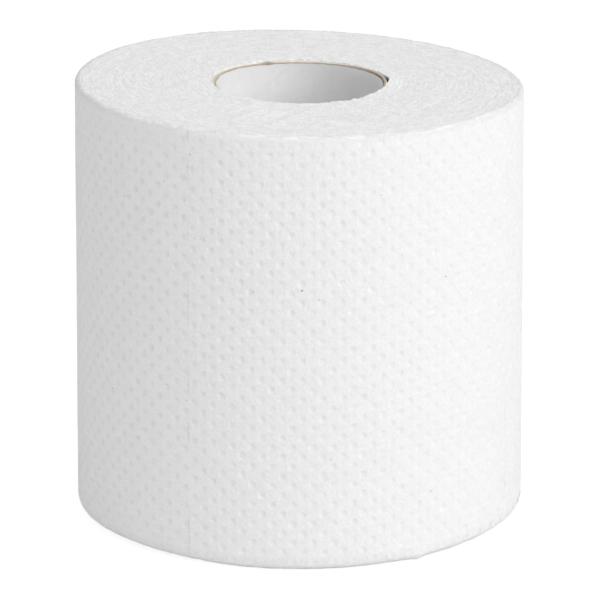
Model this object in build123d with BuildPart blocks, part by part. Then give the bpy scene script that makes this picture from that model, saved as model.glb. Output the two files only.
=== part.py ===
# Toilet paper roll: one web of embossed tissue wound on a cardboard core, standing on a sawn end.
# Millimetres. The origin is the middle of the lower end, and +Z runs up along the core.
import os
from math import cos, radians, sin, tan

from build123d import *

# Wound tissue, with rims that are pressed soft
roll_diameter = 108.0
roll_height = 105.3
upper_rim = 1.2
lower_rim = 2.0

# The upper end is sawn out of square and falls towards +X by this many degrees
saw_slope = 1.2

# The outer turn ends in a tail edge at the back, which stands this far above the turn below it
tail_step = 0.35
tail_direction = 118.0

# Groups of turns show on both ends as shallow rings
turn_ring_pitch = 3.5
turn_ring_width = 0.9
turn_ring_depth = 0.25

# Cardboard core, cut with the web and drawn back a little from both ends
core_bore_diameter = 40.0
core_wall = 1.1
core_recess = 0.3

# Worked out from the sizes above
slope = radians(saw_slope)
roll_radius = roll_diameter / 2
core_bore_radius = core_bore_diameter / 2
core_outer_radius = core_bore_radius + core_wall
blank_radius = roll_radius + tail_step
blank_height = roll_height + 2 * blank_radius * tan(slope)

upper_end = Plane(
    origin=(0, 0, roll_height),
    x_dir=(cos(slope), 0, -sin(slope)),
    z_dir=(sin(slope), 0, cos(slope)),
)
lower_end = Plane(origin=(0, 0, 0), x_dir=(1, 0, 0), z_dir=(0, 0, -1))

# The first ring is a pitch out from the core, and the last one clears the rim
ring_room = roll_radius - lower_rim - turn_ring_width - core_outer_radius
ring_count = int(ring_room / turn_ring_pitch)
ring_radii = [core_outer_radius + turn_ring_pitch * (i + 1) for i in range(ring_count)]


def cut_turn_rings(end):
    """Cuts the rings of the turns into the end that faces along the plane's normal."""
    section = Plane(origin=end.origin, x_dir=end.x_dir, z_dir=-end.y_dir)
    with BuildSketch(section) as rings:
        for radius in ring_radii:
            with BuildLine():
                Polyline(
                    (radius - turn_ring_width, turn_ring_depth),
                    (radius, -turn_ring_depth),
                    (radius + turn_ring_width, turn_ring_depth),
                    close=True,
                )
            make_face()
    revolve(rings.sketch, axis=Axis(end.origin, end.z_dir), mode=Mode.SUBTRACT)


# Wound tissue. Its outside is two half turns, each half a step further out than the one before
with BuildPart() as tissue_roll:
    with BuildSketch():
        Circle(blank_radius)
    extrude(amount=blank_height)
    split(bisect_by=upper_end, keep=Keep.BOTTOM)
    chamfer(tissue_roll.edges().sort_by(Axis.Z)[-1], upper_rim + tail_step)
    chamfer(tissue_roll.edges().sort_by(Axis.Z)[0], lower_rim + tail_step)

    with BuildSketch():
        with BuildLine():
            inner_half = roll_radius - 0.75 * tail_step
            outer_half = roll_radius - 0.25 * tail_step
            tail_axis = Vector(1, 0, 0).rotate(Axis.Z, tail_direction)
            inner_turn = CenterArc(
                tail_axis * (roll_radius - tail_step - inner_half), inner_half, tail_direction, 180
            )
            outer_turn = CenterArc(
                tail_axis * (roll_radius - outer_half), outer_half, tail_direction + 180, 180
            )
            Line(outer_turn @ 1, inner_turn @ 0)
        make_face()
    extrude(amount=blank_height, mode=Mode.INTERSECT)

    with BuildSketch():
        Circle(core_outer_radius)
    extrude(amount=blank_height, mode=Mode.SUBTRACT)

    cut_turn_rings(upper_end)
    cut_turn_rings(lower_end)

# Core: a plain tube, its upper end parallel to the sawn end of the tissue
with BuildPart() as core_tube:
    with BuildSketch(Plane.XY.offset(core_recess)):
        Circle(core_outer_radius)
        Circle(core_bore_radius, mode=Mode.SUBTRACT)
    extrude(amount=blank_height)
    split(bisect_by=upper_end.offset(-core_recess), keep=Keep.BOTTOM)

tissue_roll.part.label = "tissue_roll"
core_tube.part.label = "core_tube"

os.makedirs("parts", exist_ok=True)
export_step(tissue_roll.part, "parts/tissue_roll.step")
export_step(core_tube.part, "parts/core_tube.step")
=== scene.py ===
import bpy
import bmesh
import math
import random
from mathutils import Matrix, Vector, noise


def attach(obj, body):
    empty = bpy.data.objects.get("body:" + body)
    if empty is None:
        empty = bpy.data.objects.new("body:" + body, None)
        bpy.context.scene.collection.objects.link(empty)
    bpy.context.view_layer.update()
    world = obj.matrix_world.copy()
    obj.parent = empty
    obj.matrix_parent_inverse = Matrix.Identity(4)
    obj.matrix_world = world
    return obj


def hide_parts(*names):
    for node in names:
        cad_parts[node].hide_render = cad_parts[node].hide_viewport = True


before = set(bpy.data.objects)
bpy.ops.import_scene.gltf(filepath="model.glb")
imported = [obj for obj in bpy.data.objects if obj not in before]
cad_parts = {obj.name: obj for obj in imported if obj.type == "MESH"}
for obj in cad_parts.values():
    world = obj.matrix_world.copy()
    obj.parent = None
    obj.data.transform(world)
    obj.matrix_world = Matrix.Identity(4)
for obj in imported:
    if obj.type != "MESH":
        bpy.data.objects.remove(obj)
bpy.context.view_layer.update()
scene = bpy.context.scene
mm = 0.001
hair = 1e-6                             # two heights closer than this are the same
cutReach = 1e-7                         # a point this close to a cut is on it

# sizes that every piece of the roll shares
roll = {
    "heightAtAxis": 105.3 * mm,
    "sawSlope": math.radians(1.2),      # the sawn end falls towards +X
    # a form placed round the roll, here and in all that follows: size, azimuth and width in degrees
    "sawnRises": ((0.25, -132, 30), (-0.18, 150, 50), (0.5, 63, 18)),      # in millimetres, at the rim
    "radiusAfterTail": 53.65 * mm,
    "turnStep": 0.35 * mm,              # how much one turn of paper adds to the radius
    "tailAzimuth": math.radians(-152),  # azimuths start at the front and grow to the right
    "unrollRadius": 54 * mm,
    "boreRadius": 21.1 * mm,
    "flareMiddle": 0.10 * mm,           # the roll is a little wider at the bottom than at the top
    "flare": 0.25 * mm,
    "upperShoulder": 1.7 * mm,
    "upperTighter": ((0.3, -95, 40), (0.65, 76, 30)),      # share that the shoulder loses there
    "lowerShoulder": 3.0 * mm,
    "lowerCrease": (0.5, 29.8, 1.7),    # share lost, place along the paper and width in millimetres
    "lowerLifts": ((0.8, -46, 24), (0.55, 58, 22)),        # millimetres that it stands off the floor
    "sharpAngle": math.radians(55),
}
middleHeight = roll["heightAtAxis"] / 2
sawnUp = Vector((math.sin(roll["sawSlope"]), 0, math.cos(roll["sawSlope"])))


def smooth(low, high, value):
    share = min(1.0, max(0.0, (value - low) / (high - low)))
    return share * share * (3 - 2 * share)


def fade(low, high, value):
    return 1 - smooth(low, high, value)


def bump(value, centre, width):
    return math.exp(-((value - centre) / width) ** 2)


def around(azimuth, centre, width):
    degrees = (math.degrees(azimuth) - centre + 180) % 360 - 180
    return bump(degrees, 0, width)


def placed(form, azimuth):
    size, centre, width = form
    return size * around(azimuth, centre, width)


def waves(forms, azimuth):
    return sum(placed(form, azimuth) for form in forms)


def roundNoise(azimuth, scale, level):
    return noise.noise(Vector((math.cos(azimuth) * scale, math.sin(azimuth) * scale, level)))


def azimuthOf(point):
    azimuth = math.atan2(point.x, -point.y)
    return azimuth + 2 * math.pi if azimuth < roll["tailAzimuth"] else azimuth


def polar(radius, azimuth):
    return radius * math.sin(azimuth), -radius * math.cos(azimuth)


def scaleRadius(vert, radius, newRadius):
    vert.co.x *= newRadius / radius
    vert.co.y *= newRadius / radius


def windRadius(azimuth):
    turned = (azimuth - roll["tailAzimuth"]) / (2 * math.pi)
    return roll["radiusAfterTail"] + roll["turnStep"] * turned


def flareAt(height):
    return roll["flareMiddle"] - roll["flare"] * (height - middleHeight) / middleHeight


def sawnPlane(x):
    return roll["heightAtAxis"] - x * math.tan(roll["sawSlope"])


def sawnWave(x, y):
    wave = waves(roll["sawnRises"], math.atan2(x, -y))
    return wave * mm * (x * x + y * y) / roll["unrollRadius"] ** 2


def sawnHeight(x, y):
    return sawnPlane(x) + sawnWave(x, y)


def upperReach(azimuth):
    return roll["upperShoulder"] * (1 - waves(roll["upperTighter"], azimuth))


def lowerReach(azimuth):
    share, place, width = roll["lowerCrease"]
    along = azimuth * roll["unrollRadius"] / mm
    return roll["lowerShoulder"] * (1 - share * bump(along, place, width))


def lowerLift(azimuth):
    return waves(roll["lowerLifts"], azimuth) * mm


def shoulder(reach, past):
    # a quarter circle: how far it has left the straight line after going past its start
    return reach - math.sqrt(max(0.0, reach * reach - past * past))


# pieces

def newObject(name, bm, material):
    mesh = bpy.data.meshes.new(name)
    bm.to_mesh(mesh)
    bm.free()
    mesh.materials.append(material)
    made = bpy.data.objects.new(name, mesh)
    scene.collection.objects.link(made)
    return made


def newPiece(name, bm, material, slot, *nodes):
    for edge in bm.edges:
        if edge.is_manifold and edge.calc_face_angle() > roll["sharpAngle"]:
            edge.smooth = False
    for face in bm.faces:
        face.smooth = True
    piece = newObject(name, bm, material)
    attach(piece, "root")
    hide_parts(*nodes)
    piece.data.calc_loop_triangles()
    print("made", name, len(piece.data.loop_triangles), "triangles")
    return piece


def cutAt(bm, point, normal, clear=True):
    geometry = bm.verts[:] + bm.edges[:] + bm.faces[:]
    bmesh.ops.bisect_plane(bm, geom=geometry, dist=cutReach, plane_co=point, plane_no=normal,
                           clear_outer=clear)


def wallProfile(bm, inner, outer, boreCuts, endCuts):
    high = roll["heightAtAxis"]
    points = ((inner, 0), (inner, high), (outer, high), (outer, 0))
    corners = [bm.verts.new((radius, 0, height)) for radius, height in points]
    sides = [bm.edges.new((corners[i], corners[(i + 1) % 4])) for i in range(4)]
    bmesh.ops.subdivide_edges(bm, edges=[sides[0]], cuts=boreCuts)
    bmesh.ops.subdivide_edges(bm, edges=[sides[1], sides[3]], cuts=endCuts)


def moveHighestCut(bm, height):
    highest = max(vert.co.z for vert in bm.verts if vert.co.z < roll["heightAtAxis"] - mm)
    for vert in bm.verts:
        if vert.co.z == highest:
            vert.co.z = height


def spinRound(bm, steps):
    bmesh.ops.spin(bm, geom=bm.verts[:] + bm.edges[:], axis=(0, 0, 1), cent=(0, 0, 0), dvec=(0, 0, 0),
                   angle=2 * math.pi, steps=steps, use_merge=True)


# camera

view = {
    "elevation": math.radians(16.552),
    "distance": 1200 * mm,
    "lens": 297.51,
    "sensor": 36,
    "aimRight": 0.225 * mm,
    "aimUp": -1.981 * mm,
    "near": 0.05,
    "far": 20,
}


def makeCamera():
    data = bpy.data.cameras.new("camera")
    data.lens = view["lens"]
    data.sensor_width = view["sensor"]
    data.clip_start = view["near"]
    data.clip_end = view["far"]
    camera = bpy.data.objects.new("camera", data)
    scene.collection.objects.link(camera)
    forward = Vector((0, math.cos(view["elevation"]), -math.sin(view["elevation"])))
    right = Vector((1, 0, 0))
    up = right.cross(forward)
    centre = Vector((0, 0, middleHeight))
    camera.location = (centre - forward * view["distance"]
                       + right * view["aimRight"] + up * view["aimUp"])
    camera.rotation_euler = (math.pi / 2 - view["elevation"], 0, 0)
    scene.camera = camera
    print("camera at", [round(c, 4) for c in camera.location])


# material helpers

def freshMaterial(name, roughness, specular):
    material = bpy.data.materials.new(name)
    material.use_nodes = True
    tree = material.node_tree
    shader = tree.nodes["Principled BSDF"]
    shader.inputs["Roughness"].default_value = roughness
    shader.inputs["Specular IOR Level"].default_value = specular
    return material, tree, shader


def link(tree, source, target):
    tree.links.new(source, target)


def maths(tree, operation, first, second=None):
    node = tree.nodes.new("ShaderNodeMath")
    node.operation = operation
    for socket, value in zip(node.inputs, (first, second)):
        if value is None:
            continue
        if isinstance(value, (int, float)):
            socket.default_value = value
        else:
            link(tree, value, socket)
    return node.outputs[0]


def times(tree, first, second):
    return maths(tree, "MULTIPLY", first, second)


def weighed(tree, *parts):
    total = None
    for value, weight in parts:
        part = value if weight == 1 else times(tree, value, weight)
        total = part if total is None else maths(tree, "ADD", total, part)
    return total


def noiseOf(tree, vector, scale, detail=2.0, roughness=0.5):
    node = tree.nodes.new("ShaderNodeTexNoise")
    node.inputs["Scale"].default_value = scale
    node.inputs["Detail"].default_value = detail
    node.inputs["Roughness"].default_value = roughness
    link(tree, vector, node.inputs["Vector"])
    return node.outputs["Fac"]


def spread(tree, value, low, high, toLow=0, toHigh=1):
    node = tree.nodes.new("ShaderNodeMapRange")
    link(tree, value, node.inputs["Value"])
    node.inputs["From Min"].default_value = low
    node.inputs["From Max"].default_value = high
    node.inputs["To Min"].default_value = toLow
    node.inputs["To Max"].default_value = toHigh
    return node.outputs["Result"]


def mapped(tree, vector, scale=(1, 1, 1), location=(0, 0, 0), rotation=(0, 0, 0)):
    node = tree.nodes.new("ShaderNodeMapping")
    node.inputs["Scale"].default_value = scale
    node.inputs["Location"].default_value = location
    node.inputs["Rotation"].default_value = rotation
    link(tree, vector, node.inputs["Vector"])
    return node.outputs["Vector"]


def objectPlace(tree):
    return tree.nodes.new("ShaderNodeTexCoord").outputs["Object"]


def attributeOf(tree, name, output="Fac"):
    node = tree.nodes.new("ShaderNodeAttribute")
    node.attribute_name = name
    return node.outputs[output]


def partsOf(tree, vector):
    node = tree.nodes.new("ShaderNodeSeparateXYZ")
    link(tree, vector, node.inputs[0])
    return node.outputs


def mixColour(tree, factor, first, second):
    node = tree.nodes.new("ShaderNodeMix")
    node.data_type = "RGBA"
    link(tree, factor, node.inputs["Factor"])
    for socket, value in ((node.inputs[6], first), (node.inputs[7], second)):
        if isinstance(value, tuple):
            socket.default_value = (*value, 1)
        else:
            link(tree, value, socket)
    return node.outputs[2]


def tinted(colour, share):
    return tuple(c * share for c in colour)


def bumped(tree, shader, height, distance):
    node = tree.nodes.new("ShaderNodeBump")
    node.inputs["Distance"].default_value = distance
    link(tree, height, node.inputs["Height"])
    link(tree, node.outputs["Normal"], shader.inputs["Normal"])


# the embossed paper of the outer turn

facePaper = {
    "surface": (0.95, 0.15),            # roughness and specular level
    "white": (0.880, 0.880, 0.880),
    "shade": (0.793, 0.793, 0.793),
    # noises: scale, detail and roughness
    "cloud": (260, 4.0, 0.6),
    "grain": (1500, 3.0, 0.6),
    "fine": (3600, 2.0, 0.6),
    "fibre": (900, 5.0, 0.7),
    "wear": (120, 2.0, 0.5),
    "cloudShare": 0.18,
    "grainShare": 0.40,
    "fineShare": 0.42,
    "grainStretch": (1, 0.8, 1),
    "fibreStretch": (1, 0.7, 1),
    "contrast": (0.38, 0.62),           # narrower is stronger
    "fibreBump": 0.20 * mm,
    "pressedShade": 0.008,              # painted shade: how much darker the bottom of a dimple is painted
    "pressedTint": 0.5,
    # specks: about one in fourteen of these cells holds a darker fibre
    "speck": (0.36, 0.33, 0.30),
    "speckCells": 170,
    "speckStretch": (1, 0.75, 1),
    "speckRare": 0.93,
    "speckReach": 0.022,
    "speckTone": 0.7,
    # perforation
    "sheetLength": 88.9 * mm,
    "perforationAt": -27 * mm,
    "perforationTone": 0.12,
    "perforationDent": 0.6,
    "lineEdge": (0.10 * mm, 0.28 * mm),
    "dashPitch": 1.35 * mm,
    "dashEdge": (0.16 * mm, 0.26 * mm),
    "wearEdge": (0.42, 0.58),
}


def pulpSpecks(tree, wound):
    cells = tree.nodes.new("ShaderNodeTexVoronoi")
    cells.inputs["Scale"].default_value = facePaper["speckCells"]
    link(tree, mapped(tree, wound, facePaper["speckStretch"]), cells.inputs["Vector"])
    pick = tree.nodes.new("ShaderNodeSeparateColor")
    link(tree, cells.outputs["Color"], pick.inputs[0])
    rare = maths(tree, "GREATER_THAN", pick.outputs[0], facePaper["speckRare"])
    near = maths(tree, "LESS_THAN", cells.outputs["Distance"], facePaper["speckReach"])
    return times(tree, times(tree, rare, near), pick.outputs[1])


def perforationSlits(tree, wound):
    parts = partsOf(tree, wound)
    along = maths(tree, "SUBTRACT", parts[0], facePaper["perforationAt"])
    back = maths(tree, "PINGPONG", along, facePaper["sheetLength"])
    fromLine = maths(tree, "MINIMUM", back, maths(tree, "SUBTRACT", facePaper["sheetLength"], back))
    onLine = spread(tree, fromLine, *facePaper["lineEdge"], 1, 0)
    dash = maths(tree, "PINGPONG", parts[1], facePaper["dashPitch"] / 2)
    cut = spread(tree, dash, *facePaper["dashEdge"])
    patchy = spread(tree, noiseOf(tree, wound, *facePaper["wear"]), *facePaper["wearEdge"])
    return times(tree, times(tree, onLine, cut), patchy)


def makeFacePaper():
    material, tree, shader = freshMaterial("embossed_paper", *facePaper["surface"])
    wound = attributeOf(tree, "unrolled", "Vector")
    cloud = noiseOf(tree, wound, *facePaper["cloud"])
    grain = noiseOf(tree, mapped(tree, wound, facePaper["grainStretch"]), *facePaper["grain"])
    fine = noiseOf(tree, wound, *facePaper["fine"])
    mottle = weighed(tree, (cloud, facePaper["cloudShare"]), (grain, facePaper["grainShare"]),
                     (fine, facePaper["fineShare"]))
    tone = spread(tree, mottle, *facePaper["contrast"])
    colour = mixColour(tree, tone, facePaper["shade"], facePaper["white"])
    # painted shade at the bottom of each dimple, stronger at the left, and on the torn rim
    tint = facePaper["pressedTint"]
    pressed = times(tree, attributeOf(tree, "pressed"), facePaper["pressedShade"] / tint)
    colour = mixColour(tree, pressed, colour, tinted(facePaper["shade"], tint))
    speck = times(tree, pulpSpecks(tree, wound), facePaper["speckTone"])
    colour = mixColour(tree, speck, colour, facePaper["speck"])
    slit = perforationSlits(tree, wound)
    slitTone = times(tree, slit, facePaper["perforationTone"])
    colour = mixColour(tree, slitTone, colour, facePaper["speck"])
    link(tree, colour, shader.inputs["Base Color"])
    fibre = noiseOf(tree, mapped(tree, wound, facePaper["fibreStretch"]), *facePaper["fibre"])
    height = maths(tree, "SUBTRACT", fibre, times(tree, slit, facePaper["perforationDent"]))
    bumped(tree, shader, height, facePaper["fibreBump"])
    return material


# outer turn: one thickness of embossed paper from under the tail round to the tail

outerTurn = {
    "stepAlong": 2.39 * mm,             # half the embossing's repeat, along the paper and up it
    "stepUp": 2.34 * mm,
    "columns": 156,                     # even numbers, so that a cell's corner is in the middle
    "rows": 50,
    "middleCell": (10.5, 0.5),          # where the grid's middle lies, in steps from the first dimple
    "turned": math.radians(0.35),
    "firstDimple": (2.98 * mm, 1.30 * mm),
    "rings": ((1.08, 0.0), (0.74, 0.13), (0.38, 0.23)),    # radius and depth in millimetres
    "insetStart": 0.05 * mm,            # where a ring's points start, before they move to its circle
    "seed": 31,
    "placeSpread": 0.035,               # how unlike the dimples are, places in millimetres
    "sizeSpread": (-0.06, 0.06),
    "depthSpread": (-0.22, 0.18),
    "plainMargin": 0.4 * mm,            # no dimple is nearer to a rim
    "endMargin": 2 * mm,                # or to an end of the paper
    "rimFainter": (0.25, 0.5 * mm, 5 * mm),                # share, over these distances from a rim
    "leftFainter": (0.4, 3 * mm, 10 * mm),                 # the same at the left, on top of it
    "leftSide": (-38 * mm, -12 * mm),
    "leftPaintedShade": 6.0,                 # painted shade: the dimples' bottoms are painted darker at the left, where little light falls
    "thickness": 0.33 * mm,
    "edgeDepth": 0.10 * mm,             # how far the paper's edge sits below the sawn end
    "ragged": 0.17 * mm,                # unevenness of that edge
    "raggedDepth": 0.15 * mm,           # points above this are on it
    "rags": ((1, 1.3, 4.7), (0.6, 3.1, 8.2)),              # its noises: weight, scale and level
    "edgePaintedShade": 10.5,                  # how much darker the torn rim is painted than a dimple's bottom: painted shade that dims its highlight
    "edgePaintedShadeDepth": (0.3 * mm, 1.8 * mm),
    "upperCuts": (0.4, 1.0),            # rows of points below the edge, in millimetres
    "lowerCuts": (0.4, 0.9, 1.8),
    "overlap": 4 * mm,                  # hidden length under the tail
    "tailLift": (0.22 * mm, 7 * mm),    # the tail stands off a little, over its last stretch
    "startTuck": (0.05 * mm, 5 * mm),
    "lumps": ((0.05, 60, 40, 1.3), (0.03, 160, 160, 7.1)),  # millimetres, scale along, up, level
    # dents at the left: depth, place along, width, place below the rim, height, in millimetres
    "dents": ((0.45, -41.8, 1.3, 0, 2.2), (0.225, -45, 3.0, 2.6, 2.0)),
    "waveDepth": 14 * mm,               # how far down the sawn end's rises pull the paper
    "liftHeight": 9 * mm,
    "joinMargin": 2.5 * mm,
}


def sheetEnds():
    low = roll["unrollRadius"] * roll["tailAzimuth"] - outerTurn["overlap"]
    high = roll["unrollRadius"] * (roll["tailAzimuth"] + 2 * math.pi)
    return low, high


def sheetGrid():
    stepAlong, stepUp = outerTurn["stepAlong"], outerTurn["stepUp"]
    columns, rows = outerTurn["columns"], outerTurn["rows"]
    bm = bmesh.new()
    bmesh.ops.create_grid(bm, x_segments=columns, y_segments=rows, size=0.5)
    middle = (outerTurn["firstDimple"][0] + outerTurn["middleCell"][0] * stepAlong,
              outerTurn["firstDimple"][1] + outerTurn["middleCell"][1] * stepUp, 0)
    place = Matrix.Translation(middle) @ Matrix.Diagonal((columns * stepAlong, rows * stepUp, 1, 1))
    bmesh.ops.transform(bm, matrix=place, verts=bm.verts)
    bmesh.ops.bisect_edges(bm, edges=bm.edges[:], cuts=1)
    return bm


def unturn(along, up):
    turn = outerTurn["turned"]
    return (along * math.cos(turn) - up * math.sin(turn),
            along * math.sin(turn) + up * math.cos(turn))


def rimClearance(along, up):
    x = polar(roll["unrollRadius"], along / roll["unrollRadius"])[0]
    height = up + middleHeight
    return min(height, sawnPlane(x) - height)


def dimplePlaces(bm):
    # each dimple's face: its middle, size, depth and how hard its bottom is pressed
    chance = random.Random(outerTurn["seed"])
    low, high = sheetEnds()
    margin = outerTurn["endMargin"]
    places = {}
    for face in bm.faces:
        centre = face.calc_center_median()
        column = round((centre.x - outerTurn["firstDimple"][0]) / outerTurn["stepAlong"])
        row = round((centre.y - outerTurn["firstDimple"][1]) / outerTurn["stepUp"])
        x = centre.x + chance.gauss(0, outerTurn["placeSpread"]) * mm
        y = centre.y + chance.gauss(0, outerTurn["placeSpread"]) * mm
        size = 1 + chance.uniform(*outerTurn["sizeSpread"])
        deep = 1 + chance.uniform(*outerTurn["depthSpread"])
        along, up = unturn(centre.x, centre.y)
        clearance = rimClearance(along, up)
        isDimple = (column + row) % 2 == 0 and low + margin < along < high - margin
        if not isDimple or clearance < outerTurn["plainMargin"]:
            continue
        left = fade(*outerTurn["leftSide"], along)
        share, near, far = outerTurn["rimFainter"]
        deep *= 1 - share * fade(near, far, clearance)
        share, near, far = outerTurn["leftFainter"]
        deep *= 1 - share * left * fade(near, far, clearance)
        # the last entry scales the painted shade, stronger at the left
        places[face] = (x, y, size, deep, 1 + outerTurn["leftPaintedShade"] * left)
    return places


def pressDimples(bm):
    places = dimplePlaces(bm)
    faces = list(places)
    pressed = bm.verts.layers.float.new("pressed")
    deepest = outerTurn["rings"][-1][1]
    for radius, depth in outerTurn["rings"]:
        bmesh.ops.inset_individual(bm, faces=faces, thickness=outerTurn["insetStart"])
        for face in faces:
            x, y, size, deep, shadeAtLeft = places[face]
            middle = face.calc_center_median()
            for vert in face.verts:
                angle = math.atan2(vert.co.y - middle.y, vert.co.x - middle.x)
                vert.co.x = x + radius * size * mm * math.cos(angle)
                vert.co.y = y + radius * size * mm * math.sin(angle)
                vert.co.z = -depth * deep * mm
                # painted shade, darkest at the bottom of the dimple
                vert[pressed] = shadeAtLeft * deep * depth / deepest
    print("pressed", len(faces), "dimples")


def trimSheet(bm):
    low, high = sheetEnds()
    cutAt(bm, (high, 0, 0), (1, 0, 0))
    cutAt(bm, (low, 0, 0), (-1, 0, 0))
    cutAt(bm, (0, outerTurn["edgeDepth"] - middleHeight, 0), (0, -1, 0))
    for depth in outerTurn["lowerCuts"]:
        cutAt(bm, (0, depth * mm - middleHeight, 0), (0, -1, 0), clear=False)


def windSheet(bm):
    low, high = sheetEnds()
    tailLift, tailLength = outerTurn["tailLift"]
    startTuck, startLength = outerTurn["startTuck"]
    unrolled = bm.verts.layers.float_vector.new("unrolled")
    for vert in bm.verts:
        along, up, lift = vert.co
        vert[unrolled] = (along, up, 0)
        azimuth = along / roll["unrollRadius"]
        height = up + middleHeight
        radius = windRadius(azimuth) + flareAt(height) + lift
        for size, scaleAlong, scaleUp, level in outerTurn["lumps"]:
            radius += size * mm * noise.noise(Vector((along * scaleAlong, up * scaleUp, level)))
        radius += tailLift * fade(0, tailLength, high - along)
        radius -= startTuck * fade(0, startLength, along - low)
        vert.co = (*polar(radius, azimuth), height)


def cutUpperEnd(bm):
    top = Vector((0, 0, roll["heightAtAxis"]))
    cutAt(bm, top - sawnUp * outerTurn["edgeDepth"], sawnUp)
    for depth in outerTurn["upperCuts"]:
        cutAt(bm, top - sawnUp * depth * mm, sawnUp, clear=False)


def shapeRims(bm):
    pressed = bm.verts.layers.float["pressed"]
    for vert in bm.verts:
        azimuth = azimuthOf(vert.co)
        along = azimuth * roll["unrollRadius"] / mm
        radius = math.hypot(vert.co.x, vert.co.y)
        depth = sawnPlane(vert.co.x) - vert.co.z
        # painted shade near the torn rim, which dims the rim's highlight
        vert[pressed] += outerTurn["edgePaintedShade"] * fade(*outerTurn["edgePaintedShadeDepth"], depth)
        vert.co.z += sawnWave(vert.co.x, vert.co.y) * fade(0, outerTurn["waveDepth"], depth)
        inset = 0.0
        for past, reach in ((depth, upperReach(azimuth)), (vert.co.z, lowerReach(azimuth))):
            inset += shoulder(reach, max(0.0, reach - past))
        vert.co.z += lowerLift(azimuth) * fade(0, outerTurn["liftHeight"], vert.co.z)
        for deep, place, width, below, tall in outerTurn["dents"]:
            inset += deep * mm * bump(along, place, width) * bump(depth / mm, below, tall)
        scaleRadius(vert, radius, radius - inset)
        if depth < outerTurn["raggedDepth"]:
            for weight, scale, level in outerTurn["rags"]:
                vert.co.z += outerTurn["ragged"] * weight * noise.noise(Vector((along * scale, level, 0)))


def closeSheet(bm):
    low, high = sheetEnds()
    unrolled = bm.verts.layers.float_vector["unrolled"]
    edges = [edge for edge in bm.edges if edge.is_boundary]
    made = bmesh.ops.extrude_edge_only(bm, edges=edges)["geom"]
    for vert in (item for item in made if isinstance(item, bmesh.types.BMVert)):
        radius = math.hypot(vert.co.x, vert.co.y)
        scaleRadius(vert, radius, radius - outerTurn["thickness"])
    # the inner face joins the two long edges, then the two ends close
    rims = []
    for edge in (item for item in made if isinstance(item, bmesh.types.BMEdge) and item.is_boundary):
        alongs = [vert[unrolled].x for vert in edge.verts]
        if min(alongs) > low + outerTurn["joinMargin"] and max(alongs) < high - outerTurn["joinMargin"]:
            rims.append(edge)
    bmesh.ops.bridge_loops(bm, edges=rims)
    bmesh.ops.holes_fill(bm, edges=[edge for edge in bm.edges if edge.is_boundary], sides=0)
    print("outer turn closed, open edges", sum(1 for edge in bm.edges if edge.is_boundary))


def makeOuterTurn(material):
    bm = sheetGrid()
    pressDimples(bm)
    turnBack = Matrix.Rotation(outerTurn["turned"], 4, "Z")
    bmesh.ops.transform(bm, matrix=turnBack, verts=bm.verts)
    trimSheet(bm)
    windSheet(bm)
    cutUpperEnd(bm)
    shapeRims(bm)
    closeSheet(bm)
    bmesh.ops.recalc_face_normals(bm, faces=bm.faces)
    return newPiece("outer_turn", bm, material, "tissue", "tissue_roll")


# darker fibres left in the pulp: the ones big enough to see, each lying on the paper

flecks = {
    # along the paper from the front, height, length, width in millimetres, and lean in degrees
    "places": (
        (0.7, 68.8, 0.55, 0.42, 10), (4.7, 66.5, 0.34, 0.24, 70), (-52.2, 37.8, 0.40, 0.22, 30),
        (-22.7, 79.6, 0.34, 0.22, 0), (-25.2, 79.7, 0.36, 0.20, 60), (-40.0, 49.9, 0.34, 0.22, 120),
        (-33.0, 43.1, 0.30, 0.20, 20), (-10.7, 68.2, 0.34, 0.22, 90), (-27.6, 40.1, 0.32, 0.22, 45),
        (-26.3, 99.7, 0.85, 0.16, 90), (-22.7, 47.7, 0.30, 0.22, 0), (37.2, 68.7, 0.42, 0.28, 150),
        (19.4, 90.7, 0.34, 0.20, 40), (-46.5, 86.3, 0.34, 0.20, 100), (-33.6, 92.3, 0.30, 0.18, 10),
        (33.1, 16.8, 0.40, 0.26, 50), (7.5, 27.6, 0.34, 0.22, 140),
    ),
    "thickness": 0.05 * mm,
    "lookFrom": 80 * mm,                # radius from which each one drops on the paper
    "surface": (0.90, 0.50),            # roughness and specular level
    "colour": (0.17, 0.155, 0.14),
    "lighter": 1.5,
    "grain": (4000, 2.0),
    "contrast": (0.3, 0.7),
}


def makeFleckFibre():
    material, tree, shader = freshMaterial("pulp_fibre", *flecks["surface"])
    tone = spread(tree, noiseOf(tree, objectPlace(tree), *flecks["grain"]), *flecks["contrast"])
    lighter = tinted(flecks["colour"], flecks["lighter"])
    link(tree, mixColour(tree, tone, flecks["colour"], lighter), shader.inputs["Base Color"])
    return material


def makeFlecks(paper, material):
    bm = bmesh.new()
    for along, height, length, width, lean in flecks["places"]:
        out = Vector((*polar(1, along * mm / roll["unrollRadius"]), 0))
        start = out * flecks["lookFrom"] + Vector((0, 0, height * mm))
        point, normal = paper.ray_cast(start, -out)[1:3]
        turn = normal.to_track_quat("Z", "Y").to_matrix().to_4x4()
        size = Matrix.Diagonal((length * mm / 2, width * mm / 2, flecks["thickness"] / 2, 1))
        place = Matrix.Translation(point) @ turn @ Matrix.Rotation(math.radians(lean), 4, "Z") @ size
        bmesh.ops.create_icosphere(bm, subdivisions=1, radius=1, matrix=place)
    piece = newObject("pulp_flecks", bm, material)
    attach(piece, "root")
    print("laid", len(flecks["places"]), "flecks")


# wound body: the turns below the outer one, seen edge on at both sawn ends

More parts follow.
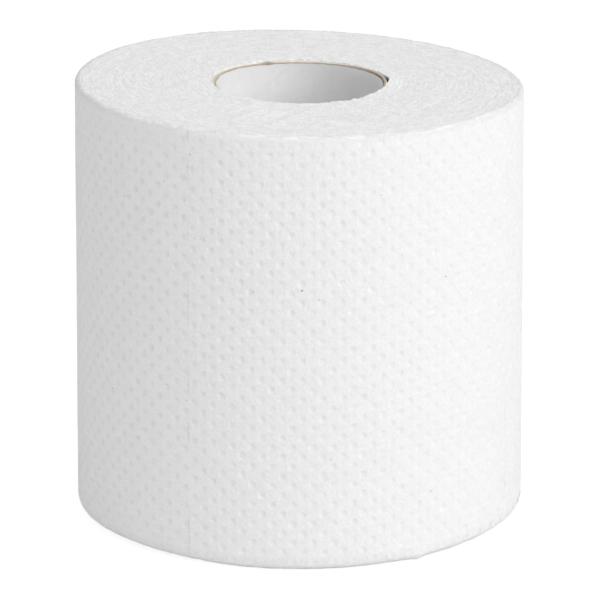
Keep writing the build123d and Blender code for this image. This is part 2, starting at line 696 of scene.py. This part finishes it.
woundBody = {
    "turns": 92,
    "steps": 240,
    "boreCuts": 5,
    "gap": 0.02 * mm,
    "offFloor": 0.03 * mm,
    "liftPower": 6,                     # the lower end's lifts fade so steeply towards the core
    "ridge": 0.02 * mm,                 # every second row of points is lower by this
    "turnLift": 0.012 * mm,             # and each row by chance, about so much up or down
    "seed": 7,
    # noises: size, scale round the roll, and step from one row of points to the next
    "waver": (0.04 * mm, 9, 0.35),      # along each turn
    "wander": (0.10 * mm, 2.2, 0.05),   # in and out
    "ruffle": (0.16 * mm, 14, 0.3),     # the same, quicker, next to the bore
    "lip": (0.22 * mm, 8, 0.15),        # up and down, next to the bore
    "nick": (0.42 * mm, 22, 0.2),       # small tears there
    "fringe": (0.2 * mm, 45, 0.3),      # torn edges of the turns nearest the rim
    "lump": (0.08 * mm, 170, 3.7),      # soft rise and fall over several turns: size, scale, level
    "frontLip": (0.35 * mm, -5, 36),    # the turns next to the bore sit lower at the front
    "sideLip": (0.5 * mm, 92, 38),      # and higher at the right
    "coreGap": (0.6 * mm, 96, 9),       # where they stand off the core
    "gapShadow": (1, 97, 10),              # and their inner wall there is painted near black, a painted shadow in the gap
    "hiddenBelow": 104.0 * mm,
    # rows of points over which each of these fades, out from the bore or in from the rim
    "rows": {"ruffle": 8, "lip": 9, "nick": 6, "frontLip": 7, "sideLip": 26, "coreGap": 6, "fringe": 16},
    # marks left by the saw
    "streak": 0.07 * mm,
    "streakTurn": math.radians(57),
    "streakScale": (45, 800),
    "streakBack": 0.35,                 # share that is left at the back
    "streakFull": 25 * mm,              # all of it from here to the front
    "streakMark": (2.2, -20, 22),       # and most of it here
    "noiseRadius": 6 * mm,              # the colour's noise runs round this circle
    "levels": {"upper": 1.0, "lower": 5.0},
}


def bodyRadius(azimuth):
    return windRadius(azimuth) - outerTurn["thickness"] - woundBody["gap"]


def ruffled(name, azimuth, index, level=0):
    size, scale, step = woundBody[name]
    return size * roundNoise(azimuth, scale, index * step + level)


def nearBore(name, index):
    return fade(0, woundBody["rows"][name], index)


def sawStreak(x, y, azimuth, end):
    cosine, sine = math.cos(woundBody["streakTurn"]), math.sin(woundBody["streakTurn"])
    along, across = woundBody["streakScale"]
    place = ((x * cosine + y * sine) * along, (y * cosine - x * sine) * across, woundBody["levels"][end])
    marked = 1 - (1 - woundBody["streakBack"]) * fade(0, woundBody["streakFull"], -y)
    if end == "upper":
        marked += placed(woundBody["streakMark"], azimuth)
    return woundBody["streak"] * marked * noise.noise(Vector(place))


def endRelief(x, y, azimuth, index, lift, end):
    level = woundBody["levels"][end]
    relief = woundBody["ridge"] * (index % 2) + woundBody["turnLift"] * lift
    relief += ruffled("waver", azimuth, index, level)
    size, scale, step = woundBody["lump"]
    relief += size * noise.noise(Vector((x * scale, y * scale, step * level)))
    return relief + sawStreak(x, y, azimuth, end)


def boreDrop(azimuth, index, end):
    drop = nearBore("lip", index) * abs(ruffled("lip", azimuth, index))
    drop += nearBore("nick", index) * ruffled("nick", azimuth, index)
    drop += nearBore("frontLip", index) * placed(woundBody["frontLip"], azimuth)
    if end == "upper":
        drop -= nearBore("sideLip", index) * placed(woundBody["sideLip"], azimuth)
    return drop


def rimDrop(radius, azimuth, index, lastIndex, end):
    reach = upperReach(azimuth) if end == "upper" else lowerReach(azimuth)
    rim = windRadius(azimuth) + flareAt(roll["heightAtAxis"] if end == "upper" else 0)
    torn = smooth(lastIndex - woundBody["rows"]["fringe"], lastIndex, index)
    return shoulder(reach, max(0.0, radius - (rim - reach))) + torn * ruffled("fringe", azimuth, index)


def shapeWound(bm, lifts, lastIndex):
    inner, outer, high = roll["boreRadius"], bodyRadius(0), roll["heightAtAxis"]
    circle = woundBody["noiseRadius"]
    turned = bm.verts.layers.float_vector.new("turned")
    gapShadow = bm.verts.layers.float.new("gapShadow")
    for vert in bm.verts:
        azimuth = azimuthOf(vert.co)
        share = (math.hypot(vert.co.x, vert.co.y) - inner) / (outer - inner)
        index = round(share * (lastIndex + 1))
        radius = inner + share * (bodyRadius(azimuth) + flareAt(vert.co.z) - inner)
        isUpper = vert.co.z > high - hair
        isEnd = isUpper or vert.co.z < hair
        inGapShadow = index == 0 and abs(vert.co.z - woundBody["hiddenBelow"]) < hair
        # painted shadow on the inner wall in the gap beside the core
        vert[gapShadow] = placed(woundBody["gapShadow"], azimuth) if inGapShadow else 0.0
        vert[turned] = (radius, circle * math.cos(azimuth), circle * math.sin(azimuth))
        if isEnd and index <= lastIndex:
            radius += ruffled("wander", azimuth, index)
            radius += nearBore("ruffle", index) * ruffled("ruffle", azimuth, index)
        if isUpper or inGapShadow:
            radius += nearBore("coreGap", index) * placed(woundBody["coreGap"], azimuth)
        x, y = polar(radius, azimuth)
        vert.co.x, vert.co.y = x, y
        if not isEnd:
            continue
        end = "upper" if isUpper else "lower"
        drop = rimDrop(radius, azimuth, index, lastIndex, end)
        drop += endRelief(x, y, azimuth, index, lifts[end][index], end) + boreDrop(azimuth, index, end)
        if isUpper:
            vert.co.z = sawnHeight(x, y) - drop
        else:
            lift = lowerLift(azimuth) * share ** woundBody["liftPower"]
            vert.co.z = max(woundBody["offFloor"], drop) + lift


def makeWoundBody(material):
    chance = random.Random(woundBody["seed"])
    endCuts = 2 * woundBody["turns"] - 1
    bm = bmesh.new()
    wallProfile(bm, roll["boreRadius"], bodyRadius(0), woundBody["boreCuts"], endCuts)
    moveHighestCut(bm, woundBody["hiddenBelow"])
    spinRound(bm, woundBody["steps"])
    lifts = {end: [chance.gauss(0, 1) for k in range(endCuts + 2)] for end in ("upper", "lower")}
    shapeWound(bm, lifts, endCuts)
    bmesh.ops.recalc_face_normals(bm, faces=bm.faces)
    return newPiece("wound_turns", bm, material, "tissue", "tissue_roll")


endPaper = {
    "surface": (0.95, 0.12),            # roughness and specular level
    "white": (0.935, 0.935, 0.935),
    "shade": (0.805, 0.805, 0.805),
    # noises: scale, detail and roughness
    "lines": (2100, 1.0, 0.6),
    "grain": (1500, 4.0, 0.75),
    "cloud": (420, 4.0, 0.65),
    "streaks": (620, 3.0, 0.6),
    "linesShare": 0.34,
    "grainShare": 0.50,
    "cloudShare": 0.16,
    "grainStretch": (1, 0.4, 1),        # the saw leaves the torn fibres lying front to back
    "cloudStretch": (1, 0.55, 1),
    "streakStretch": (0.13, 1, 1),
    "contrast": (0.42, 0.58),
    "bump": 0.15 * mm,
    "streakBump": 0.35,
    "lineBump": 0.25,
    # painted shade on the last, torn turns before the rim, most at the back; at the front it dims their
    # highlight
    "rimPaintedShade": 0.22,
    "rimFrom": (51.0 * mm, 52.7 * mm),
    "rimFront": 0.3,                    # share of it that is left at the front
    "rimBackFrom": (-10 * mm, 20 * mm),
    "rimTint": 0.5,
    # painted shadow in the gap between the turns and the core
    "gapShadow": (0.06, 0.052, 0.045),
    "gapShadowFull": 0.6,
    # marks: middle, half widths in millimetres, and strength
    "strokes": (-9, -31, 17, 14, 0.5),
    "smudges": ((12.5, -34.5, 5.5, 6.0, 0.25), (-3.3, -24.0, 2.2, 3.0, -0.35)),
    "markEdge": (0.4, 1.0),
    "smudgeMiddle": 0.35,
}


def nearMark(tree, place, x, y, wide, deep, strength):
    node = tree.nodes.new("ShaderNodeVectorMath")
    node.operation = "LENGTH"
    scale = (1 / (wide * mm), 1 / (deep * mm), 0)
    link(tree, mapped(tree, place, scale, (-x / wide, -y / deep, 0)), node.inputs[0])
    return spread(tree, node.outputs["Value"], *endPaper["markEdge"], strength, 0)


def makeEndPaper():
    material, tree, shader = freshMaterial("sawn_paper", *endPaper["surface"])
    wound = attributeOf(tree, "turned", "Vector")
    place = objectPlace(tree)
    lines = noiseOf(tree, wound, *endPaper["lines"])
    grain = noiseOf(tree, mapped(tree, place, endPaper["grainStretch"]), *endPaper["grain"])
    cloud = noiseOf(tree, mapped(tree, place, endPaper["cloudStretch"]), *endPaper["cloud"])
    mottle = weighed(tree, (lines, endPaper["linesShare"]), (grain, endPaper["grainShare"]),
                     (cloud, endPaper["cloudShare"]))
    # long strokes at the front left: turned first, then stretched
    strokePlace = mapped(tree, place, rotation=(0, 0, -woundBody["streakTurn"]))
    streaks = noiseOf(tree, mapped(tree, strokePlace, endPaper["streakStretch"]), *endPaper["streaks"])
    stroked = nearMark(tree, place, *endPaper["strokes"])
    stroked = times(tree, stroked, maths(tree, "SUBTRACT", streaks, 0.5))
    mottle = maths(tree, "ADD", mottle, stroked)
    for mark in endPaper["smudges"]:
        uneven = maths(tree, "SUBTRACT", cloud, endPaper["smudgeMiddle"])
        mottle = maths(tree, "SUBTRACT", mottle, times(tree, nearMark(tree, place, *mark), uneven))
    tone = spread(tree, mottle, *endPaper["contrast"])
    colour = mixColour(tree, tone, endPaper["shade"], endPaper["white"])
    radius = partsOf(tree, wound)[0]
    back = spread(tree, partsOf(tree, place)[1], *endPaper["rimBackFrom"], endPaper["rimFront"], 1)
    # painted shade near the rim, most at the back
    rim = times(tree, spread(tree, radius, *endPaper["rimFrom"], 0, endPaper["rimPaintedShade"]), back)
    colour = mixColour(tree, rim, colour, tinted(endPaper["shade"], endPaper["rimTint"]))
    # painted shadow in the gap beside the core
    gapShadowShare = spread(tree, attributeOf(tree, "gapShadow"), 0, endPaper["gapShadowFull"])
    colour = mixColour(tree, gapShadowShare, colour, endPaper["gapShadow"])
    link(tree, colour, shader.inputs["Base Color"])
    height = weighed(tree, (grain, 1), (streaks, endPaper["streakBump"]), (lines, endPaper["lineBump"]))
    bumped(tree, shader, height, endPaper["bump"])
    return material


# core: kraft board with a white liner wound on at a slant

core = {
    "boardOuter": 21.05 * mm,
    "boardInner": 20.22 * mm,
    "linerInner": 20.0 * mm,
    "steps": 160,
    "boreCuts": 12,
    "endCuts": 7,
    "highestCut": 0.984,                # share of the height
    "recess": 0.55 * mm,
    "raised": (0.75 * mm, 116, 40),     # it stands higher at the right
    "groove": (0.20 * mm, 0.14, 0.12),  # round the cut edge: depth, place and width across it
    "rag": (0.08 * mm, 12, 2),          # size, scale round the core, and scale across the board
    "spill": (0.5 * mm, -99, 17),       # the board's edge is crushed inwards at the left
    "spillAcross": 0.6,
    "tear": (0.15 * mm, -158, 4.5),     # the liner is torn away at the back left
    "nub": (0.28 * mm, -158, 4.5),      # and the bare board stands up there
    "acrossTorn": (0.3, -158, 4.5),     # shifts of the kraft's tones, as shares of its thickness
    # this one shifts it into the painted shade at the right
    "acrossPaintedShade": (0.55, 104, 20),
    # the liner
    "linerRows": 36,
    "linerSpare": 1.03,                 # made this much longer than the roll is high, then cut
    "linerFilm": 0.06 * mm,
    "linerShort": 0.26 * mm,            # it stops below the board's edge
    "linerEdgeReach": 0.02 * mm,        # points this close to its cut are on its edge
    "linerOverlap": 1.2 * mm,
    "linerRise": 0.12 * mm,             # so much further out at its overlapping end
    "linerRag": (0.12 * mm, 16, 2.0),
    "worn": (0.28 * mm, 122, 22),       # it has worn back at the right
    "seamAzimuth": math.radians(-176.4),   # its seam meets the upper edge here
    "seamHeight": 104.38 * mm,
    "seamFall": 0.70,                       # height lost for each unit round the bore
}


def coreTop(x, y):
    return sawnHeight(x, y) - core["recess"] + placed(core["raised"], math.atan2(x, -y))


def makeCoreBoard(material):
    bm = bmesh.new()
    inner, outer, high = core["boardInner"], core["boardOuter"], roll["heightAtAxis"]
    wallProfile(bm, inner, outer, core["boreCuts"], core["endCuts"])
    moveHighestCut(bm, core["highestCut"] * high)
    spinRound(bm, core["steps"])
    across = bm.verts.layers.float.new("across")
    for vert in bm.verts:
        azimuth = azimuthOf(vert.co)
        radius = math.hypot(vert.co.x, vert.co.y)
        share = (radius - inner) / (outer - inner)
        # the place across the board, shifted at the tear and into the painted shade at the right
        vert[across] = share - placed(core["acrossTorn"], azimuth) - placed(core["acrossPaintedShade"], azimuth)
        isUpper = vert.co.z > high - hair
        if not isUpper and vert.co.z > hair:
            continue
        deep, place, width = core["groove"]
        size, scale, step = core["rag"]
        fall = deep * bump(share, place, width) + size * roundNoise(azimuth, scale, share * step)
        if isUpper:
            spill = fade(0, core["spillAcross"], share) * placed(core["spill"], azimuth)
            scaleRadius(vert, radius, radius - spill)
            vert.co.z = coreTop(vert.co.x, vert.co.y) - fall + placed(core["nub"], azimuth)
        else:
            vert.co.z = core["recess"] + fall
    bmesh.ops.recalc_face_normals(bm, faces=bm.faces)
    return newPiece("core_board", bm, material, "core_board", "core_tube")


def windLiner(bm):
    inner = core["linerInner"]
    length = 2 * math.pi * inner + core["linerOverlap"]
    size = Matrix.Diagonal((length, roll["heightAtAxis"] * core["linerSpare"], 1, 1))
    bmesh.ops.transform(bm, matrix=size, verts=bm.verts)
    unrolled = bm.verts.layers.float_vector.new("unrolled")
    for vert in bm.verts:
        share = vert.co.x / length + 0.5
        height = vert.co.y + middleHeight
        along = share * length + (core["seamHeight"] - height) / core["seamFall"]
        vert[unrolled] = (share * length, height, 0)
        x, y = polar(inner + core["linerRise"] * share, core["seamAzimuth"] + along / inner)
        vert.co = (x, y, height)


def makeCoreLiner(material):
    bm = bmesh.new()
    bmesh.ops.create_grid(bm, x_segments=core["steps"], y_segments=core["linerRows"], size=0.5)
    windLiner(bm)
    edgeDepth = core["recess"] + core["linerShort"]
    cutAt(bm, Vector((0, 0, roll["heightAtAxis"] - edgeDepth)), sawnUp)
    cutAt(bm, (0, 0, edgeDepth), (0, 0, -1))
    size, scale, level = core["linerRag"]
    for vert in bm.verts:
        if sawnPlane(vert.co.x) - vert.co.z < edgeDepth + core["linerEdgeReach"]:
            azimuth = azimuthOf(vert.co)
            short = core["linerShort"] + placed(core["tear"], azimuth) + placed(core["worn"], azimuth)
            rag = size * roundNoise(azimuth, scale, level)
            vert.co.z = coreTop(vert.co.x, vert.co.y) - short + rag
    bmesh.ops.recalc_face_normals(bm, faces=bm.faces)
    bmesh.ops.solidify(bm, geom=bm.verts[:] + bm.edges[:] + bm.faces[:], thickness=core["linerFilm"])
    return newPiece("core_liner", bm, material, "core_board", "core_tube")


kraft = {
    "surface": (0.90, 0.20),            # roughness and specular level
    "pale": (0.80, 0.76, 0.66),         # the sawn edge, towards the outside
    "dark": (0.56, 0.495, 0.41),
    "deep": (0.26, 0.22, 0.18),         # painted shade of its torn right side
    "fibre": (900, 4.0, 0.65),          # scale, detail and roughness
    "fibreStretch": (1, 1, 0.4),
    "fibreShare": 0.6,
    "bump": 0.08 * mm,
    # tones by place across the board, 0 at its inside and 1 at its outside
    "paleAcross": (0.55, 1.05),
    "shadeAcross": (-0.25, 0.2),
}


def makeKraft():
    material, tree, shader = freshMaterial("kraft_board", *kraft["surface"])
    place = mapped(tree, objectPlace(tree), kraft["fibreStretch"])
    fibre = noiseOf(tree, place, *kraft["fibre"])
    across = weighed(tree, (attributeOf(tree, "across"), 1), (fibre, kraft["fibreShare"]))
    colour = mixColour(tree, spread(tree, across, *kraft["paleAcross"]), kraft["dark"], kraft["pale"])
    # painted shade at the torn right side of the board
    deep = spread(tree, across, *kraft["shadeAcross"], 1, 0)
    link(tree, mixColour(tree, deep, colour, kraft["deep"]), shader.inputs["Base Color"])
    bumped(tree, shader, fibre, kraft["bump"])
    return material


linerPaper = {
    "surface": (0.85, 0.25),            # roughness and specular level
    "white": (0.94, 0.94, 0.94),
    "shade": 0.94,                      # share of the white that is left in its darker patches
    "fibre": (700, 4.0, 0.6),           # scale, detail and roughness
    "cloud": (120, 3.0, 0.5),
    "fibreShare": 0.5,
    "cloudShare": 0.5,
    "contrast": (0.35, 0.65),
    "bump": 0.05 * mm,
    # painted shadow beside the edge of the liner's overlap, broken into patches
    "seamShadow": (0.45, 0.44, 0.42),
    "seamShadowTone": 0.22,
    "seamShadowEdge": (0.10 * mm, 0.45 * mm),
    "seamShadowBreaks": (130, 2.0),
    "seamShadowBreakEdge": (0.48, 0.62),
}


def makeLinerPaper():
    material, tree, shader = freshMaterial("liner_paper", *linerPaper["surface"])
    place = objectPlace(tree)
    fibre = noiseOf(tree, place, *linerPaper["fibre"])
    cloud = noiseOf(tree, place, *linerPaper["cloud"])
    mottle = weighed(tree, (fibre, linerPaper["fibreShare"]), (cloud, linerPaper["cloudShare"]))
    tone = spread(tree, mottle, *linerPaper["contrast"])
    darker = tinted(linerPaper["white"], linerPaper["shade"])
    colour = mixColour(tree, tone, darker, linerPaper["white"])
    girth = 2 * math.pi * core["linerInner"]
    along = partsOf(tree, attributeOf(tree, "unrolled", "Vector"))[0]
    fromSeam = maths(tree, "ABSOLUTE", maths(tree, "SUBTRACT", along, girth))
    # painted shadow beside the edge of the liner's overlap, in patches
    seamShadow = spread(tree, fromSeam, *linerPaper["seamShadowEdge"], linerPaper["seamShadowTone"], 0)
    worn = spread(tree, noiseOf(tree, place, *linerPaper["seamShadowBreaks"]), *linerPaper["seamShadowBreakEdge"])
    colour = mixColour(tree, times(tree, seamShadow, worn), colour, linerPaper["seamShadow"])
    link(tree, colour, shader.inputs["Base Color"])
    bumped(tree, shader, fibre, linerPaper["bump"])
    return material


# studio: floor, world and lamps

studio = {
    "floorSize": 6.0,
    "floorParts": 8,                    # squares along each side
    "floor": (0.86, 0.86, 0.86),
    "floorSeen": 0.80,                  # how much of the camera's view of the floor is plain white
    "floorGlow": 1.12,
    "worldLevel": 0.30,
    # azimuth and elevation in degrees, distance, width and height in metres, power in watts
    "lamps": {
        "right": (75, 28, 2.0, 1.4, 1.4, 9.2),
        "rightFront": (45, 30, 2.0, 1.4, 1.4, 19.3),
        "above": (0, 90, 2.0, 1.8, 1.8, 9.8),
        "left": (-52, 3, 2.0, 2.0, 0.25, 6.9),
        "upperLeft": (-75, 58, 2.0, 1.4, 1.4, 5.2),
    },
}


def cameraSees(tree):
    path = tree.nodes.new("ShaderNodeLightPath")
    seen = maths(tree, "MAXIMUM", path.outputs["Is Camera Ray"], path.outputs["Is Glossy Ray"])
    return maths(tree, "MAXIMUM", seen, path.outputs["Is Transmission Ray"])


def mixShaders(tree, share, first, second, out):
    mix = tree.nodes.new("ShaderNodeMixShader")
    link(tree, share, mix.inputs[0])
    link(tree, first.outputs[0], mix.inputs[1])
    link(tree, second.outputs[0], mix.inputs[2])
    link(tree, mix.outputs[0], tree.nodes.new(out).inputs["Surface"])


def worldLight(tree, strength):
    node = tree.nodes.new("ShaderNodeBackground")
    node.inputs["Color"].default_value = (1, 1, 1, 1)
    node.inputs["Strength"].default_value = strength
    return node


def makeWorld():
    world = bpy.data.worlds.new("studio")
    world.use_nodes = True
    tree = world.node_tree
    tree.nodes.clear()
    lit, seen = worldLight(tree, studio["worldLevel"]), worldLight(tree, 1.0)
    mixShaders(tree, cameraSees(tree), lit, seen, "ShaderNodeOutputWorld")
    scene.world = world


def makeFloor():
    material = bpy.data.materials.new("studio_floor")
    material.use_nodes = True
    tree = material.node_tree
    tree.nodes.clear()
    paint = tree.nodes.new("ShaderNodeBsdfDiffuse")
    paint.inputs["Color"].default_value = (*studio["floor"], 1)
    glow = tree.nodes.new("ShaderNodeEmission")
    glow.inputs["Strength"].default_value = studio["floorGlow"]
    share = times(tree, cameraSees(tree), studio["floorSeen"])
    mixShaders(tree, share, paint, glow, "ShaderNodeOutputMaterial")
    bm = bmesh.new()
    bmesh.ops.create_grid(bm, x_segments=studio["floorParts"],
                          y_segments=studio["floorParts"], size=studio["floorSize"] / 2)
    floor = newObject("studio_floor", bm, material)


def makeLamps():
    aim = Vector((0, 0, middleHeight))
    for name, (azimuth, elevation, distance, wide, tall, power) in studio["lamps"].items():
        data = bpy.data.lights.new("lamp_" + name, "AREA")
        data.shape = "RECTANGLE"
        data.size = wide
        data.size_y = tall
        data.energy = power
        level = math.cos(math.radians(elevation))
        back = Vector((*polar(level, math.radians(azimuth)), math.sin(math.radians(elevation))))
        light = bpy.data.objects.new("lamp_" + name, data)
        light.location = aim + back * distance
        light.rotation_euler = (-back).to_track_quat("-Z", "Y").to_euler()
        scene.collection.objects.link(light)
    print("lamps", ", ".join(studio["lamps"]))


scene.view_settings.view_transform = "Standard"
makeCamera()
makeWorld()
makeFloor()
makeLamps()
paper = makeOuterTurn(makeFacePaper())
bpy.context.view_layer.update()
makeFlecks(paper, makeFleckFibre())
makeWoundBody(makeEndPaper())
makeCoreBoard(makeKraft())
makeCoreLiner(makeLinerPaper())
